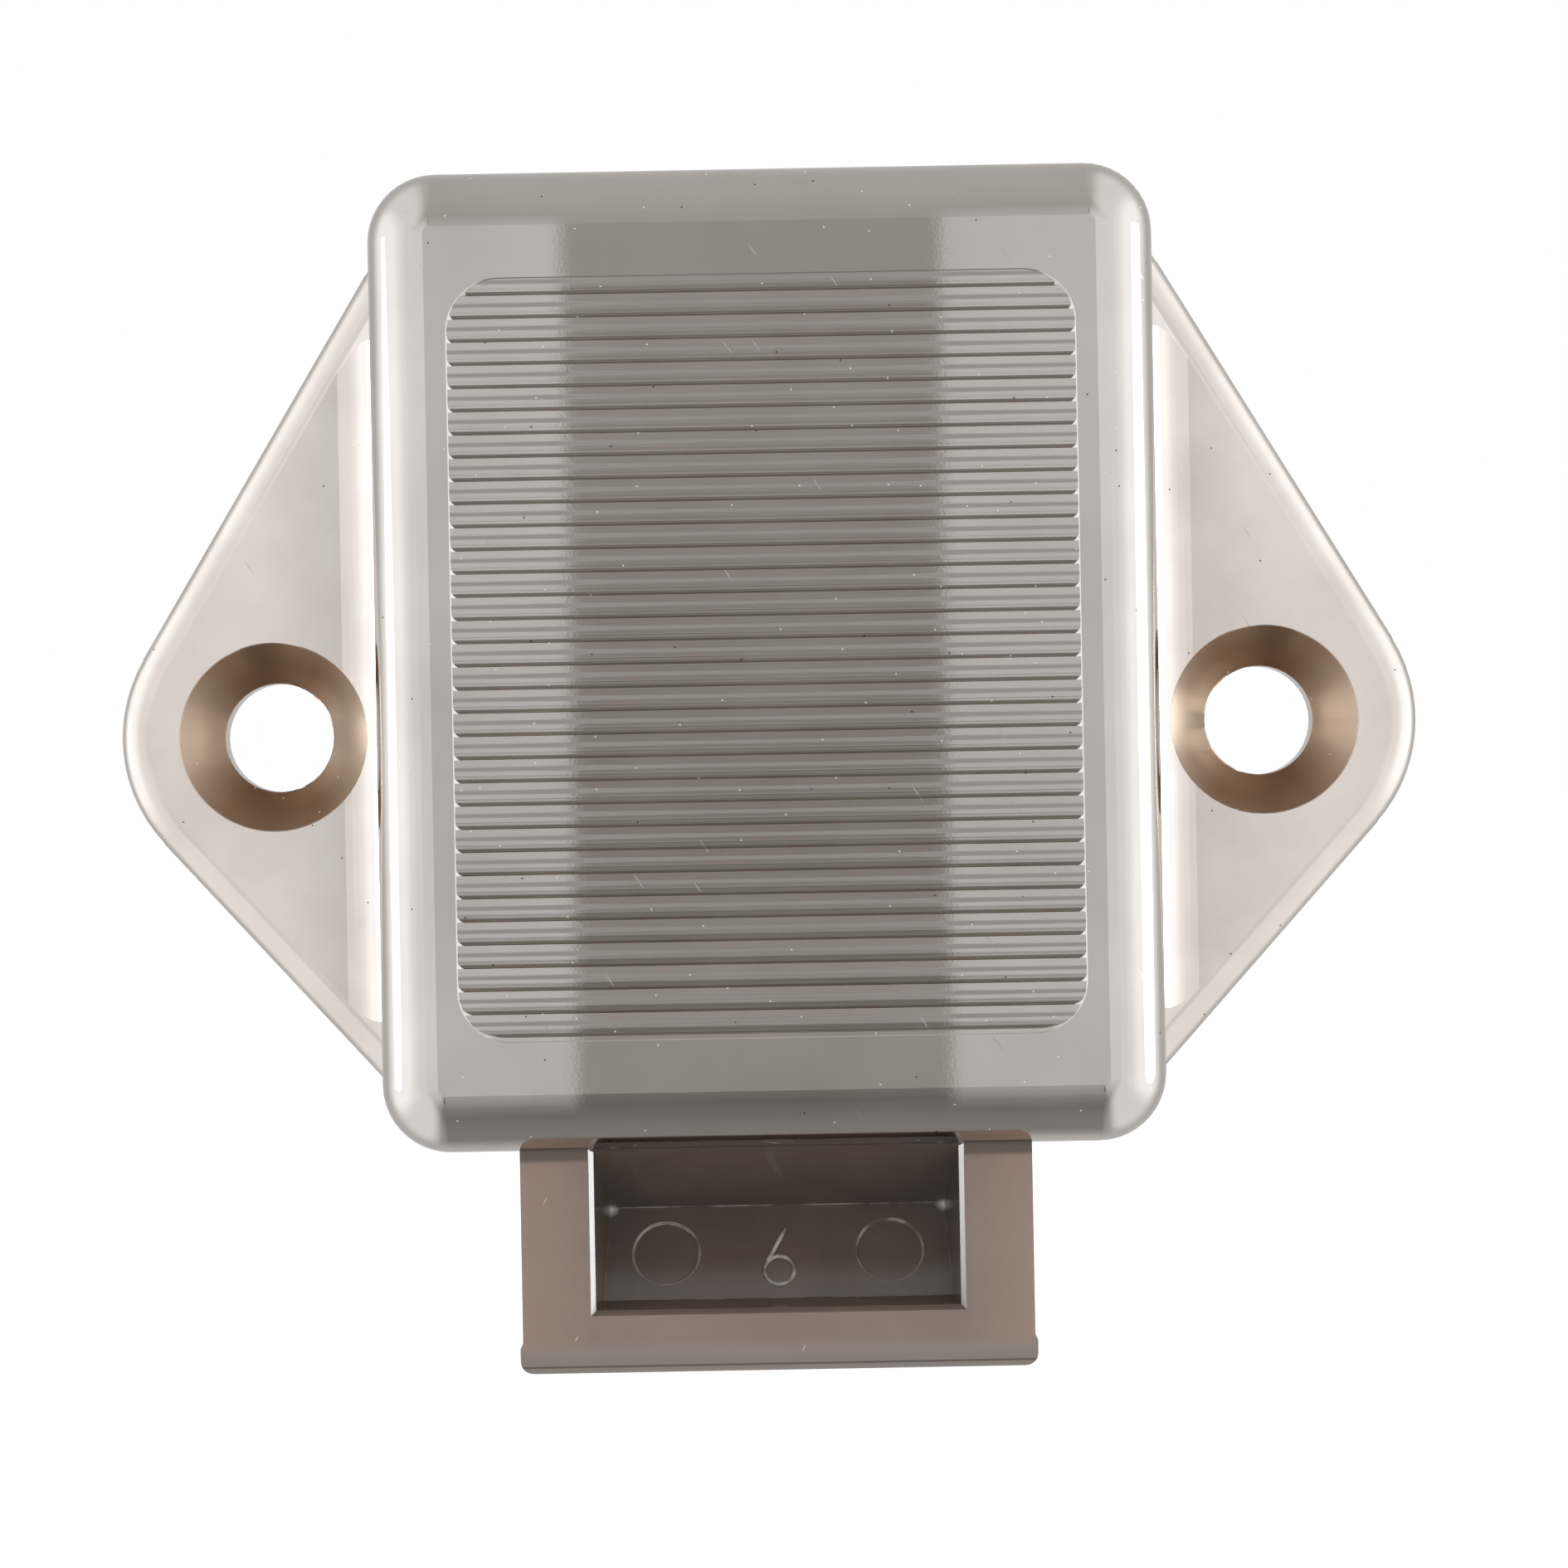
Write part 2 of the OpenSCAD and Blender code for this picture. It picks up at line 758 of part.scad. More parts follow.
// Latch wire: a leg held in the case, a bend, and an arm whose end lies in the track
module latch_wire() {
    arm_end = track_floor + 0.1;
    leg_end = inner_face - 0.8;
    color("#c4c6c8")
        upright() {
            translate([0, wire_y, wire_z + wire_bend])
                cylinder(r = wire_radius, h = leg_end - wire_z - wire_bend);
            translate([0, wire_y - wire_bend, wire_z])
                rotate([90, 0, 0])
                    cylinder(r = wire_radius, h = wire_y - wire_bend - arm_end);
            translate([0, wire_y - wire_bend, wire_z + wire_bend])
                rotate([0, 90, 0])
                    rotate_extrude(angle = 90)
                        translate([wire_bend, 0])
                            circle(r = wire_radius);
        }
}

// Pan head screw with a cross recess; the head looks towards the door
module pan_screw() {
    slot = 0.45;
    difference() {
        union() {
            rotate_extrude()
                polygon([
                    [0, 0],
                    [head_radius - 0.4, 0],
                    [head_radius, 0.4],
                    [head_radius, head_height],
                    [0, head_height]
                ]);
            cylinder(d = cover_screw, h = head_height + cover_screw_length - cover_screw / 2);
            translate([0, 0, head_height + cover_screw_length - cover_screw / 2])
                cylinder(d1 = cover_screw, d2 = 0.4, h = cover_screw / 2);
        }
        for (turn = [0, 90])
            rotate([0, 0, turn])
                translate([-1.1, -slot / 2, -cut])
                    cube([2.2, slot, cut + 0.7]);
    }
}

module cover_screws() {
    color("#c9c9c7")
        upright()
            for (side = [-1, 1])
                translate([side * boss_x, boss_y, head_depth - head_height])
                    pan_screw();
}

case();
cover_plate();
bolt();
plunger();
return_spring(-1);  // return_spring_left
return_spring(1);  // return_spring_right
latch_wire();
cover_screws();
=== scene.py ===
"""Push-button lock: its finishes, wound springs, rib lands, mould number and studio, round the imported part."""

import math

import bpy
from mathutils import Matrix, Vector


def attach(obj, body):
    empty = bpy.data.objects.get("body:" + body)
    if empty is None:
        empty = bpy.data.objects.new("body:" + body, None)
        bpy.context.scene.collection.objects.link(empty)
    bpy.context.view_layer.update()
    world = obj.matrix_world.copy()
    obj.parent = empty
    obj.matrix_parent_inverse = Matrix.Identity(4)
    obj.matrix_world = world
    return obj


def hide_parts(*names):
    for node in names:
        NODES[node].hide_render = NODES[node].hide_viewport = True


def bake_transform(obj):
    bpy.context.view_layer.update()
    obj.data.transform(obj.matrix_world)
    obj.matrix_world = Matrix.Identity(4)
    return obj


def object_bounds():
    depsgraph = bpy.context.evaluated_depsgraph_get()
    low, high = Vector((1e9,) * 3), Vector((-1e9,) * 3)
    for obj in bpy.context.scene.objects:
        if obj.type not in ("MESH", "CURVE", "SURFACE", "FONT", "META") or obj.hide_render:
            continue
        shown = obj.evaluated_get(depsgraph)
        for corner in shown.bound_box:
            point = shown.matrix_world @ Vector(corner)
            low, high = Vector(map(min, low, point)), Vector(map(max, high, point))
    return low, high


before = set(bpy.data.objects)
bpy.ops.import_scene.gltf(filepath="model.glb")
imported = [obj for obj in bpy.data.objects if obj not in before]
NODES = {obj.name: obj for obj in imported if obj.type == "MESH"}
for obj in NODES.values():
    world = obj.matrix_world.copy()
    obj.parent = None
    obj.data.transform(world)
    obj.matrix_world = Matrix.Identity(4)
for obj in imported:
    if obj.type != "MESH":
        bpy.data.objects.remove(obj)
cad_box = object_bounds()

MM = 0.001
PLASTIC_IOR = 1.48

# Picture of the lock: the camera is on the ribbed side, square to the door
CAMERA_PLACE = Vector((0.65, -150.0, -2.6)) * MM
CAMERA_LENS = 72.7
CAMERA_ROLL = math.radians(1.045)

# Return springs: each stands on the floor of the case and pushes up an ear of the bolt
SPRING_X = 13.125 * MM
SPRING_Y = -6.7 * MM
SPRING_FOOT = -16.25 * MM
SPRING_TOP = 3.38 * MM
SPRING_MEAN = 1.275 * MM
SPRING_WIRE = 0.225 * MM
SPRING_TURNS = 14
STEPS_A_TURN = 28
WIRE_SIDES = 12

# Ribbed panel of the case, from its upper end, in mm; the crest line lies in shares of the pitch
RIB_PITCH = 1.0
RIB_COUNT = 33
RIB_FIRST = 19.45
RIB_HALF = 13.56
RIB_FACE = -13.5
RIB_DROP = 0.03
CREST_PLACE = 0.19
CREST_CORE = 0.04
CREST_EDGE = 0.12

# Front of the case, greyer than the wings, and the wings with their screw holes and countersinks, in mm
FRONT_GREYER_FROM = -9.0
FRONT_GREYER_FULL = -12.5
DOOR_SIDE = -0.05
HOLE_X = 23.0
COUNTERSINK = 4.4

# Bolt: the parting line across its nose and the pocket floor that carries the mould number
BOLT_FACE = -11.0
BOLT_TIP = -28.5
BOLT_MOUTH = -18.7
BOLT_HALF = 11.25
PARTING_LINE = -28.08
NUMBER_PLACE = Vector((0.05, -7.08, -23.92)) * MM
FLOOR_UP = Vector((0, 2.3, 3.8)).normalized()
FLOOR_OUT = Vector((0, -3.8, 2.3)).normalized()
NUMBER_BEAD = 0.1 * MM
BEAD_SIDES = 10
EJECTOR_PLACE = Vector((5.05, -6.95, -23.7)) * MM
EJECTOR_RADIUS = 1.5 * MM
FOLD_END = Vector((7.6, -5.8, -21.8)) * MM


def linear(code):
    """Linear colour of an sRGB hex value."""
    parts = [int(code[i : i + 2], 16) / 255 for i in (1, 3, 5)]
    return [c / 12.92 if c <= 0.04045 else ((c + 0.055) / 1.055) ** 2.4 for c in parts]


def rgba(code):
    """Linear colour of an sRGB hex value, with full alpha, for a socket."""
    return (*linear(code), 1.0)


def grey(level, warmth=0.0):
    """Linear colour of a light, redder and less blue with warmth, or the level of a mask."""
    return (level, level * (1 - 0.5 * warmth), level * (1 - warmth))


def add(tree, kind, values=(), links=(), **settings):
    """Adds a node with its settings, its constant inputs and its links."""
    node = tree.nodes.new(kind)
    for name, value in settings.items():
        setattr(node, name, value)
    for socket, value in dict(values).items():
        node.inputs[socket].default_value = value
    for socket, source in dict(links).items():
        tree.links.new(source, node.inputs[socket])
    return node


def set_ramp(ramp, stops):
    """Gives a colour ramp its stops, each a position and a linear colour."""
    elements = ramp.color_ramp.elements
    while len(elements) < len(stops):
        elements.new(0.5)
    for element, (position, colour) in zip(elements, stops):
        element.position = position
        element.color = (*colour, 1.0)


def pattern_scale(size_mm):
    """Texture scale, on coordinates in metres, for features of that size."""
    return 1 / (size_mm * MM)


def new_material(name):
    """An empty material, its tree, its Principled shader and the Object coordinates."""
    material = bpy.data.materials.new(name)
    material.use_nodes = True
    tree = material.node_tree
    tree.nodes.clear()
    shader = add(tree, "ShaderNodeBsdfPrincipled")
    add(tree, "ShaderNodeOutputMaterial", links={"Surface": shader.outputs["BSDF"]})
    place = add(tree, "ShaderNodeTexCoord").outputs["Object"]
    return material, tree, shader, place


def sparse_marks(tree, place, spacing_mm, size_mm, stretch, turn, share):
    """Mask of small marks on what faces the front: round specks, or scratches where stretched and turned."""
    axes = add(tree, "ShaderNodeSeparateXYZ", links={"Vector": place})
    front = add(tree, "ShaderNodeCombineXYZ", links={"X": axes.outputs["X"], "Y": axes.outputs["Z"]})
    laid = add(
        tree,
        "ShaderNodeMapping",
        {"Rotation": (0, 0, turn), "Scale": (1, stretch, 1)},
        {"Vector": front.outputs["Vector"]},
        vector_type="TEXTURE",
    )
    cells = add(
        tree,
        "ShaderNodeTexVoronoi",
        {"Scale": pattern_scale(spacing_mm)},
        {"Vector": laid.outputs["Vector"]},
        voronoi_dimensions="2D",
    )
    near = add(
        tree,
        "ShaderNodeMapRange",
        {
            "From Min": 0.4 * size_mm / spacing_mm,
            "From Max": size_mm / spacing_mm,
            "To Min": 1.0,
            "To Max": 0.0,
        },
        {"Value": cells.outputs["Distance"]},
    )
    pick = add(tree, "ShaderNodeSeparateColor", links={"Color": cells.outputs["Color"]})
    chosen = add(tree, "ShaderNodeMath", {1: share}, {0: pick.outputs["Red"]}, operation="LESS_THAN")
    mask = add(
        tree,
        "ShaderNodeMath",
        links={0: near.outputs["Result"], 1: chosen.outputs["Value"]},
        operation="MULTIPLY",
    )
    lean = add(
        tree,
        "ShaderNodeSeparateXYZ",
        links={"Vector": add(tree, "ShaderNodeTexCoord").outputs["Normal"]},
    )
    facing = add(tree, "ShaderNodeMath", {1: -0.5}, {0: lean.outputs["Y"]}, operation="LESS_THAN")
    faced = add(
        tree,
        "ShaderNodeMath",
        links={0: mask.outputs["Value"], 1: facing.outputs["Value"]},
        operation="MULTIPLY",
    )
    return faced.outputs["Value"]


def satin_nickel():
    """Nickel plating on a die casting: a warm grey metal that mirrors broad lights with a clean edge.
    The front is greyer than the wings, and the countersinks are browner, where the plating is thin,
    and painted darker towards their top and bottom and lighter at their sides as painted shade and light.
    A rougher line along the crest of each rib is painted darker as a painted reflection. A faint grain,
    dark specks, dust and short scratches break it up."""
    material, tree, shader, place = new_material("satin_nickel_on_die_casting")
    cloud = add(tree, "ShaderNodeTexNoise", {"Scale": pattern_scale(4), "Detail": 3}, {"Vector": place})
    grain = add(tree, "ShaderNodeTexNoise", {"Scale": pattern_scale(0.15), "Detail": 2}, {"Vector": place})
    axes = add(tree, "ShaderNodeSeparateXYZ", links={"Vector": place})
    front = add(tree, "ShaderNodeValToRGB", links={"Fac": cloud.outputs["Fac"]})
    set_ramp(front, [(0.3, linear("#cdc7c1")), (0.7, linear("#d4cfc9"))])
    bright = add(tree, "ShaderNodeValToRGB", links={"Fac": cloud.outputs["Fac"]})
    set_ramp(bright, [(0.3, linear("#d9d0c9")), (0.7, linear("#e6ded7"))])
    # Greyer towards the front of the case than on the wings
    greyer_front = add(
        tree,
        "ShaderNodeMapRange",
        {"From Min": FRONT_GREYER_FROM * MM, "From Max": FRONT_GREYER_FULL * MM},
        {"Value": axes.outputs["Y"]},
    )
    tone = add(
        tree,
        "ShaderNodeMix",
        links={0: greyer_front.outputs["Result"], 6: bright.outputs["Color"], 7: front.outputs["Color"]},
        data_type="RGBA",
    )
    specks = sparse_marks(tree, place, 2.6, 0.06, 1, 0.5, 0.35)
    speckled = add(
        tree,
        "ShaderNodeMix",
        {7: rgba("#6b6058")},
        {0: specks, 6: tone.outputs[2]},
        data_type="RGBA",
    )
    beside = add(tree, "ShaderNodeMath", links={0: axes.outputs["X"]}, operation="ABSOLUTE")
    apart = add(tree, "ShaderNodeMath", {1: HOLE_X * MM}, {0: beside.outputs["Value"]}, operation="SUBTRACT")
    around = add(
        tree,
        "ShaderNodeCombineXYZ",
        links={"X": apart.outputs["Value"], "Y": axes.outputs["Z"]},
    )
    radius = add(tree, "ShaderNodeVectorMath", links={0: around.outputs["Vector"]}, operation="LENGTH")
    inward = add(
        tree,
        "ShaderNodeMapRange",
        {"From Max": COUNTERSINK * MM},
        {"Value": radius.outputs["Value"]},
    )
    sunk = add(tree, "ShaderNodeValToRGB", links={"Fac": inward.outputs["Result"]})
    set_ramp(sunk, [(0.582, grey(0.0)), (0.592, grey(1.0)), (0.985, grey(1.0)), (0.997, grey(0.0))])
    off_door = add(tree, "ShaderNodeMath", {1: DOOR_SIDE * MM}, {0: axes.outputs["Y"]}, operation="LESS_THAN")
    cone = add(
        tree,
        "ShaderNodeMath",
        links={0: sunk.outputs["Color"], 1: off_door.outputs["Value"]},
        operation="MULTIPLY",
    )
    # Countersinks: over their brown tint, painted darker towards their top and bottom and lighter at their sides,
    # as painted shade and light from the lamps at either side
    above = add(tree, "ShaderNodeMath", links={0: axes.outputs["Z"]}, operation="ABSOLUTE")
    steep = add(
        tree,
        "ShaderNodeMath",
        links={0: above.outputs["Value"], 1: radius.outputs["Value"]},
        operation="DIVIDE",
    )
    thin = add(tree, "ShaderNodeValToRGB", links={"Fac": steep.outputs["Value"]})
    set_ramp(thin, [(0.3, linear("#d2c0ae")), (0.85, linear("#9a8069"))])
    plated = add(
        tree,
        "ShaderNodeMix",
        links={0: cone.outputs["Value"], 6: speckled.outputs[2], 7: thin.outputs["Color"]},
        data_type="RGBA",
    )
    down = add(
        tree,
        "ShaderNodeMapRange",
        {"From Min": RIB_FIRST * MM, "From Max": (RIB_FIRST - RIB_PITCH) * MM},
        {"Value": axes.outputs["Z"]},
        clamp=False,
    )
    along_rib = add(tree, "ShaderNodeMath", links={0: down.outputs["Result"]}, operation="FRACT")
    off_crest = add(tree, "ShaderNodeMath", {1: CREST_PLACE}, {0: along_rib.outputs["Value"]}, operation="SUBTRACT")
    from_crest = add(tree, "ShaderNodeMath", links={0: off_crest.outputs["Value"]}, operation="ABSOLUTE")
    crest = add(
        tree,
        "ShaderNodeMapRange",
        {"From Min": CREST_CORE, "From Max": CREST_EDGE, "To Min": 1.0, "To Max": 0.0},
        {"Value": from_crest.outputs["Value"]},
    )
    on_rib = add(
        tree,
        "ShaderNodeMath",
        {1: (RIB_FACE + RIB_DROP) * MM, 2: 0.01 * MM},
        {0: axes.outputs["Y"]},
        operation="COMPARE",
    )
    in_panel = add(
        tree,
        "ShaderNodeMath",
        {1: RIB_HALF * MM},
        {0: beside.outputs["Value"]},
        operation="LESS_THAN",
    )
    on_land = add(
        tree,
        "ShaderNodeMath",
        links={0: on_rib.outputs["Value"], 1: in_panel.outputs["Value"]},
        operation="MULTIPLY",
    )
    # Crest of each rib land: a darker colour, a painted dark reflection, and more roughness
    crest_rough_and_painted_dark = add(
        tree,
        "ShaderNodeMath",
        links={0: crest.outputs["Result"], 1: on_land.outputs["Value"]},
        operation="MULTIPLY",
    )
    painted_crest_reflection = add(
        tree,
        "ShaderNodeMix",
        {7: rgba("#ada9a4")},
        {0: crest_rough_and_painted_dark.outputs["Value"], 6: plated.outputs[2]},
        data_type="RGBA",
    )
    dust = sparse_marks(tree, place, 1.9, 0.05, 1, 1.2, 0.4)
    dusty = add(
        tree,
        "ShaderNodeMix",
        {7: rgba("#efe9e2")},
        {0: dust, 6: painted_crest_reflection.outputs[2]},
        data_type="RGBA",
    )
    tree.links.new(dusty.outputs[2], shader.inputs["Base Color"])
    bare = add(tree, "ShaderNodeMath", {0: 1.0}, {1: dust}, operation="SUBTRACT")
    tree.links.new(bare.outputs["Value"], shader.inputs["Metallic"])

    rough = add(
        tree,
        "ShaderNodeMapRange",
        {"From Min": 0.3, "From Max": 0.7, "To Min": 0.02, "To Max": 0.035},
        {"Value": grain.outputs["Fac"]},
    )
    scratches = sparse_marks(tree, place, 1.1, 0.04, 12, 0.6, 0.3)
    scuffed = add(
        tree,
        "ShaderNodeMath",
        {1: 0.25},
        {0: scratches, 2: rough.outputs["Result"]},
        operation="MULTIPLY_ADD",
    )
    turned = add(
        tree,
        "ShaderNodeMath",
        {1: 0.28},
        {0: cone.outputs["Value"], 2: scuffed.outputs["Value"]},
        operation="MULTIPLY_ADD",
    )
    worn = add(
        tree,
        "ShaderNodeMath",
        {1: 0.28},
        {0: crest_rough_and_painted_dark.outputs["Value"], 2: turned.outputs["Value"]},
        operation="MULTIPLY_ADD",
    )
    tree.links.new(worn.outputs["Value"], shader.inputs["Roughness"])
    bump = add(
        tree,
        "ShaderNodeBump",
        {"Strength": 0.02, "Distance": 0.01 * MM},
        {"Height": grain.outputs["Fac"]},
    )
    tree.links.new(bump.outputs["Normal"], shader.inputs["Normal"])
    return material


def acetal_bolt():
    """Moulded acetal: slightly glossy in the pocket, which is painted darker than the front face and the nose as
    painted shade, and duller on the face and the nose. The outer edges of the face have a painted glow, the
    lowest part of the nose a painted reflection, and the raised number, the ejector marks and the fold in the
    pocket painted highlights; with light scratches and the dark parting line of the mould."""
    material, tree, shader, place = new_material("moulded_acetal_bolt")
    flow = add(tree, "ShaderNodeTexNoise", {"Scale": pattern_scale(3), "Detail": 3}, {"Vector": place})
    grain = add(tree, "ShaderNodeTexNoise", {"Scale": pattern_scale(0.12), "Detail": 2}, {"Vector": place})
    # Darker colour of the pocket: painted shade of the recess
    skin = add(tree, "ShaderNodeValToRGB", links={"Fac": flow.outputs["Fac"]})
    set_ramp(skin, [(0.3, linear("#605249")), (0.7, linear("#685a50"))])
    outer_tone = add(tree, "ShaderNodeValToRGB", links={"Fac": flow.outputs["Fac"]})
    set_ramp(outer_tone, [(0.3, linear("#837167")), (0.7, linear("#8b796e"))])
    axes = add(tree, "ShaderNodeSeparateXYZ", links={"Vector": place})
    face = add(
        tree,
        "ShaderNodeMapRange",
        {
            "From Min": (BOLT_FACE + 0.005) * MM,
            "From Max": (BOLT_FACE + 0.02) * MM,
            "To Min": 1.0,
            "To Max": 0.0,
        },
        {"Value": axes.outputs["Y"]},
    )
    outside = add(
        tree,
        "ShaderNodeMapRange",
        {
            "From Min": (BOLT_MOUTH - 0.4) * MM,
            "From Max": (BOLT_MOUTH - 0.2) * MM,
            "To Min": 1.0,
            "To Max": 0.0,
        },
        {"Value": axes.outputs["Z"]},
    )
    face_share = add(
        tree,
        "ShaderNodeMath",
        links={0: face.outputs["Result"], 1: outside.outputs["Result"]},
        operation="MULTIPLY",
    )
    nose = add(
        tree,
        "ShaderNodeMapRange",
        {
            "From Min": (BOLT_TIP + 2.4) * MM,
            "From Max": (BOLT_TIP + 2.8) * MM,
            "To Min": 1.0,
            "To Max": 0.0,
        },
        {"Value": axes.outputs["Z"]},
    )
    # Front face and nose, outside the pocket: they take the outer colour, scratches and more roughness, while the
    # pocket keeps its darker colour, a painted shade
    worn = add(
        tree,
        "ShaderNodeMath",
        links={0: face_share.outputs["Value"], 1: nose.outputs["Result"]},
        operation="MAXIMUM",
    )
    across = add(tree, "ShaderNodeMath", links={0: axes.outputs["X"]}, operation="ABSOLUTE")
    # Painted glow: the outer edges of the face are painted warmer and lighter, as light shining through the plastic
    # from behind
    edge = add(
        tree,
        "ShaderNodeMapRange",
        {"From Min": (BOLT_HALF - 3.0) * MM, "From Max": BOLT_HALF * MM, "To Min": 0.0, "To Max": 0.6},
        {"Value": across.outputs["Value"]},
    )
    painted_edge_glow = add(
        tree,
        "ShaderNodeMix",
        {7: rgba("#a58a78")},
        {0: edge.outputs["Result"], 6: outer_tone.outputs["Color"]},
        data_type="RGBA",
    )
    # Painted reflection: the lowest part of the nose is painted greyer and paler
    lip = add(
        tree,
        "ShaderNodeMapRange",
        {
            "From Min": (BOLT_TIP + 1.0) * MM,
            "From Max": (BOLT_TIP + 1.6) * MM,
            "To Min": 1.0,
            "To Max": 0.0,
        },
        {"Value": axes.outputs["Z"]},
    )
    painted_nose_reflection = add(
        tree,
        "ShaderNodeMix",
        {7: rgba("#8e827a")},
        {0: lip.outputs["Result"], 6: painted_edge_glow.outputs[2]},
        data_type="RGBA",
    )
    shade = add(
        tree,
        "ShaderNodeMix",
        links={0: worn.outputs["Value"], 6: skin.outputs["Color"], 7: painted_nose_reflection.outputs[2]},
        data_type="RGBA",
    )
    from_floor = add(
        tree,
        "ShaderNodeVectorMath",
        {1: NUMBER_PLACE},
        {0: place},
        operation="SUBTRACT",
    )
    height = add(
        tree,
        "ShaderNodeVectorMath",
        {1: FLOOR_OUT},
        {0: from_floor.outputs["Vector"]},
        operation="DOT_PRODUCT",
    )
    level = add(
        tree,
        "ShaderNodeMapRange",
        {"From Min": -0.2 * MM, "From Max": 0.2 * MM},
        {"Value": height.outputs["Value"]},
    )
    # Painted highlights on the walls of the ejector marks and on the sides of the raised number, only in the pocket
    # and broken up in patches
    painted_rim_highlights = add(tree, "ShaderNodeValToRGB", links={"Fac": level.outputs["Result"]})
    set_ramp(
        painted_rim_highlights,
        [
            (0.22, grey(0.0)),
            (0.26, grey(1.0)),
            (0.44, grey(1.0)),
            (0.47, grey(0.0)),
            (0.53, grey(0.0)),
            (0.60, grey(0.8)),
            (0.82, grey(0.8)),
            (0.95, grey(0.0)),
        ],
    )
    in_pocket = add(
        tree,
        "ShaderNodeMath",
        {0: 1.0},
        {1: worn.outputs["Value"]},
        operation="SUBTRACT",
    )
    one_side = add(
        tree,
        "ShaderNodeCombineXYZ",
        links={"X": across.outputs["Value"], "Y": axes.outputs["Y"], "Z": axes.outputs["Z"]},
    )
    from_mark = add(
        tree,
        "ShaderNodeVectorMath",
        {1: EJECTOR_PLACE},
        {0: one_side.outputs["Vector"]},
        operation="DISTANCE",
    )
    # Painted highlight: a light ring round each ejector mark
    on_ring = add(
        tree,
        "ShaderNodeMath",
        {1: EJECTOR_RADIUS, 2: 0.05 * MM},
        {0: from_mark.outputs["Value"]},
        operation="COMPARE",
    )
    on_floor = add(
        tree,
        "ShaderNodeMath",
        {1: 0.5, 2: 0.4},
        {0: level.outputs["Result"]},
        operation="COMPARE",
    )
    ring = add(
        tree,
        "ShaderNodeMath",
        links={0: on_ring.outputs["Value"], 1: on_floor.outputs["Value"]},
        operation="MULTIPLY",
    )
    # The painted ring highlight is brighter towards the top of each mark, as painted light from above
    upper = add(
        tree,
        "ShaderNodeMapRange",
        {"From Min": -24.6 * MM, "From Max": -22.4 * MM, "To Min": 0.22, "To Max": 0.8},
        {"Value": axes.outputs["Z"]},
    )
    painted_ring_highlight = add(
        tree,
        "ShaderNodeMath",
        links={0: ring.outputs["Value"], 1: upper.outputs["Result"]},
        operation="MULTIPLY",
    )
    marked = add(
        tree,
        "ShaderNodeMath",
        links={0: painted_rim_highlights.outputs["Color"], 1: painted_ring_highlight.outputs["Value"]},
        operation="MAXIMUM",
    )
    raised = add(
        tree,
        "ShaderNodeMath",
        links={0: marked.outputs["Value"], 1: in_pocket.outputs["Value"]},
        operation="MULTIPLY",
    )
    patches = add(tree, "ShaderNodeTexNoise", {"Scale": pattern_scale(1.1), "Detail": 3}, {"Vector": place})
    uneven = add(
        tree,
        "ShaderNodeMapRange",
        {"From Min": 0.42, "From Max": 0.62, "To Min": 0.12, "To Max": 0.9},
        {"Value": patches.outputs["Fac"]},
    )
    broken = add(
        tree,
        "ShaderNodeMath",
        links={0: raised.outputs["Value"], 1: uneven.outputs["Result"]},
        operation="MULTIPLY",
    )
    # Painted highlight where the fold of the pocket floor meets its side wall
    from_fold = add(
        tree,
        "ShaderNodeVectorMath",
        {1: FOLD_END},
        {0: one_side.outputs["Vector"]},
        operation="DISTANCE",
    )
    painted_fold_glint = add(
        tree,
        "ShaderNodeMapRange",
        {"From Min": 0.12 * MM, "From Max": 0.45 * MM, "To Min": 1.0, "To Max": 0.0},
        {"Value": from_fold.outputs["Value"]},
    )
    # All painted highlights of the pocket, mixed into the colour
    painted_highlights = add(
        tree,
        "ShaderNodeMath",
        links={0: broken.outputs["Value"], 1: painted_fold_glint.outputs["Result"]},
        operation="MAXIMUM",
    )
    colour_with_painted_glints = add(
        tree,
        "ShaderNodeMix",
        {7: rgba("#dcd4cc")},
        {0: painted_highlights.outputs["Value"], 6: shade.outputs[2]},
        data_type="RGBA",
    )
    scratches = sparse_marks(tree, place, 1.0, 0.035, 6, -0.5, 0.14)
    on_face = add(
        tree,
        "ShaderNodeMath",
        links={0: scratches, 1: worn.outputs["Value"]},
        operation="MULTIPLY",
    )
    scratched = add(
        tree,
        "ShaderNodeMix",
        {7: rgba("#c9bdb5")},
        {0: on_face.outputs["Value"], 6: colour_with_painted_glints.outputs[2]},
        data_type="RGBA",
    )
    off_line = add(
        tree,
        "ShaderNodeMath",
        {1: PARTING_LINE * MM},
        {0: axes.outputs["Z"]},
        operation="SUBTRACT",
    )
    gap = add(tree, "ShaderNodeMath", links={0: off_line.outputs["Value"]}, operation="ABSOLUTE")
    line = add(
        tree,
        "ShaderNodeMapRange",
        {"From Min": 0.03 * MM, "From Max": 0.07 * MM, "To Min": 0.7, "To Max": 0.0},
        {"Value": gap.outputs["Value"]},
    )
    parted = add(
        tree,
        "ShaderNodeMix",
        {7: rgba("#3a312c")},
        {0: line.outputs["Result"], 6: scratched.outputs[2]},
        data_type="RGBA",
    )
    tree.links.new(parted.outputs[2], shader.inputs["Base Color"])
    rough = add(
        tree,
        "ShaderNodeMapRange",
        {"To Min": 0.15, "To Max": 0.42},
        {"Value": worn.outputs["Value"]},
    )
    tree.links.new(rough.outputs["Result"], shader.inputs["Roughness"])
    shader.inputs["IOR"].default_value = PLASTIC_IOR
    shader.inputs["Specular IOR Level"].default_value = 1.0
    bump = add(
        tree,
        "ShaderNodeBump",
        {"Strength": 0.12, "Distance": 0.02 * MM},
        {"Height": grain.outputs["Fac"]},
    )
    tree.links.new(bump.outputs["Normal"], shader.inputs["Normal"])
    return material


